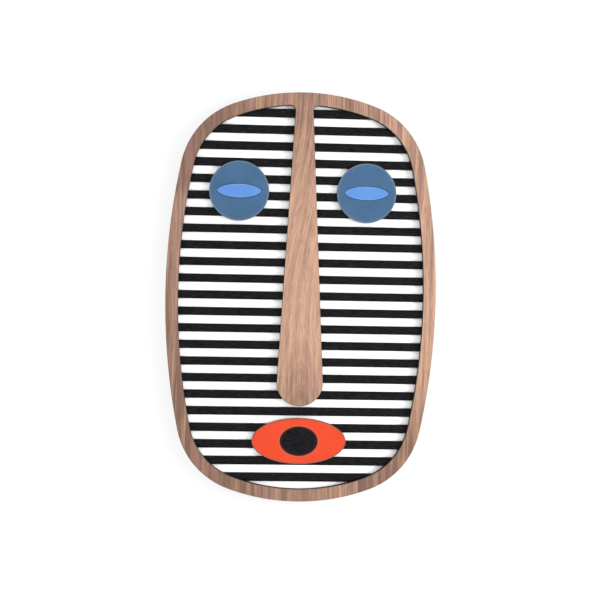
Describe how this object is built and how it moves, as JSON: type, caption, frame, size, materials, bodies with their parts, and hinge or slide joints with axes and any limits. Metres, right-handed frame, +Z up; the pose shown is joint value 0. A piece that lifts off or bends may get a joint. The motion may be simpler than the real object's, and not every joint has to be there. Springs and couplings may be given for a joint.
{
  "type": "wall mask",
  "caption": "Flat layered wooden wall mask: an oval walnut rim with a long nose over black and white stripes, with round blue eyes and an oval orange mouth.",
  "frame": {"origin": "middle of the flat back, where it lies on the wall", "axes": "+Z up along the mask's height, +Y into the wall, so the face looks along -Y, +X to the viewer's right"},
  "size_m": [0.326, 0.0136, 0.493],
  "materials": {
    "white_paint": "board painted matt white",
    "black_stain": "black-stained board, satin, with faint grain",
    "walnut": "walnut veneer, upright grain, matt, with browned edges",
    "blue_paint": "board painted matt dusty blue",
    "light_blue_paint": "board painted matt light blue",
    "orange_paint": "board painted matt orange-red"
  },
  "bodies": {
    "root": {"back_panel": "white_paint", "stripe_grille": "black_stain", "rim_and_nose": "walnut", "eye_disc_left": "blue_paint", "eye_disc_right": "blue_paint", "eye_lens_left": "light_blue_paint", "eye_lens_right": "light_blue_paint", "mouth_ring": "orange_paint", "mouth_centre": "black_stain"}
  },
  "joints": []
}
